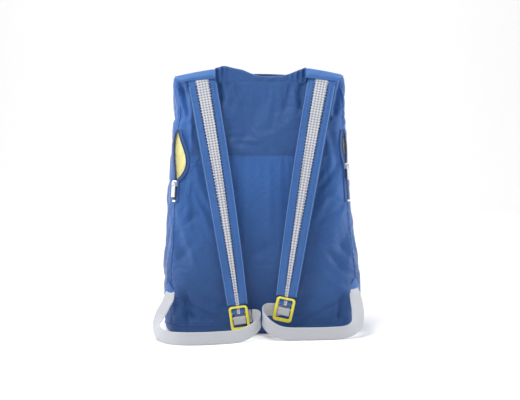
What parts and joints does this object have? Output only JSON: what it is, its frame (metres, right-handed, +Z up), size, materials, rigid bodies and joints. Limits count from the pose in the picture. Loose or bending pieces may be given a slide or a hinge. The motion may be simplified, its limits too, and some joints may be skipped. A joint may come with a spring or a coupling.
{
  "type": "ski backpack",
  "caption": "Light packable cloth daypack with tapered shoulder straps, mesh stripes, ladder-lock buckles, floor-length adjusting webbing, side zip pockets and a top zip.",
  "frame": {"origin": "centre of the flat base of the bag", "axes": "+Z up, +X across the bag, -Y on the side of the shoulder straps"},
  "size_m": [0.3299, 0.2277, 0.42],
  "materials": {
    "blue_cloth": "thin woven polyester with a slight sheen",
    "grey_mesh": "coarse knitted mesh",
    "grey_webbing": "flat woven webbing",
    "yellow_plastic": "moulded acetal",
    "yellow_lining": "thin woven lining",
    "zip_tape": "woven tape with a nylon coil",
    "zip_metal": "light enamelled zinc",
    "pull_cord": "moulded light grey"
  },
  "bodies": {
    "bag": {"back_panel_lower": "blue_cloth", "back_panel_upper": "blue_cloth", "front_panel": "blue_cloth", "bottom_panel": "blue_cloth", "top_gusset": "blue_cloth", "stow_pocket": "blue_cloth", "neck_hem": "blue_cloth", "main_zip_stringer_front": "zip_tape", "main_zip_stringer_rear": "zip_tape", "main_zip_stop": "zip_metal", "side_panel_left": "blue_cloth", "side_zip_stringer_inner_left": "zip_tape", "side_zip_stringer_outer_left": "zip_tape", "side_zip_stop_left": "zip_metal", "pocket_lining_left": "yellow_lining", "shoulder_yoke_left": "blue_cloth", "lower_webbing_left": "grey_webbing", "corner_tab_left": "blue_cloth", "side_panel_right": "blue_cloth", "side_zip_stringer_inner_right": "zip_tape", "side_zip_stringer_outer_right": "zip_tape", "side_zip_stop_right": "zip_metal", "pocket_lining_right": "yellow_lining", "shoulder_yoke_right": "blue_cloth", "lower_webbing_right": "grey_webbing", "corner_tab_right": "blue_cloth"},
    "strap_left": {"shoulder_strap_left": "blue_cloth", "mesh_stripe_left": "grey_mesh", "strap_loop_left": "blue_cloth"},
    "buckle_left": {"ladder_lock_left": "yellow_plastic", "webbing_fold_left": "grey_webbing"},
    "strap_right": {"shoulder_strap_right": "blue_cloth", "mesh_stripe_right": "grey_mesh", "strap_loop_right": "blue_cloth"},
    "buckle_right": {"ladder_lock_right": "yellow_plastic", "webbing_fold_right": "grey_webbing"},
    "main_zip_slider": {"main_zip_slider": "zip_metal"},
    "main_zip_pull": {"main_zip_pull": "pull_cord"},
    "side_zip_slider_left": {"side_zip_slider_left": "zip_metal"},
    "side_zip_pull_left": {"side_zip_pull_left": "pull_cord"},
    "side_zip_slider_right": {"side_zip_slider_right": "zip_metal"},
    "side_zip_pull_right": {"side_zip_pull_right": "pull_cord"}
  },
  "joints": [
    {"name": "strap_left_swing", "type": "hinge", "parent": "bag", "child": "strap_left", "pos_m": [-0.094, -0.036, 0.397], "axis": [-0.9856, 0, -0.169], "range_deg": [0, 30], "deforming": ["lower_webbing_left"]},
    {"name": "buckle_left_tilt", "type": "hinge", "parent": "strap_left", "child": "buckle_left", "pos_m": [-0.03629, -0.08975, 0.03812], "axis": [-0.9903, 0, -0.1392], "range_deg": [-3, 6]},
    {"name": "strap_right_swing", "type": "hinge", "parent": "bag", "child": "strap_right", "pos_m": [0.094, -0.036, 0.397], "axis": [-0.9861, 0, 0.1663], "range_deg": [0, 30], "deforming": ["lower_webbing_right"]},
    {"name": "buckle_right_tilt", "type": "hinge", "parent": "strap_right", "child": "buckle_right", "pos_m": [0.03623, -0.08881, 0.0517], "axis": [-0.9781, 0, 0.2079], "range_deg": [-3, 6]},
    {"name": "main_zip_slide", "type": "slide", "parent": "bag", "child": "main_zip_slider", "axis": [1, 0, 0], "range_m": [0, 0.0265]},
    {"name": "main_zip_pull_swing", "type": "hinge", "parent": "main_zip_slider", "child": "main_zip_pull", "pos_m": [0.0675, 0.0085, 0.40965], "axis": [0, -1, 0], "range_deg": [0, 160]},
    {"name": "side_zip_left_slide", "type": "slide", "parent": "bag", "child": "side_zip_slider_left", "axis": [-0.0497, -0.1087, -0.9928], "range_m": [0, 0.0213]},
    {"name": "side_zip_left_pull_swing", "type": "hinge", "parent": "side_zip_slider_left", "child": "side_zip_pull_left", "pos_m": [-0.13917, -0.04836, 0.23775], "axis": [-0.7427, 0.6687, -0.036], "range_deg": [0, 160]},
    {"name": "side_zip_right_slide", "type": "slide", "parent": "bag", "child": "side_zip_slider_right", "axis": [0.061, -0.1044, -0.9927], "range_m": [0, 0.0483]},
    {"name": "side_zip_right_pull_swing", "type": "hinge", "parent": "side_zip_slider_right", "child": "side_zip_pull_right", "pos_m": [0.13643, -0.0384, 0.26454], "axis": [-0.5584, -0.8279, 0.0528], "range_deg": [0, 160]}
  ]
}
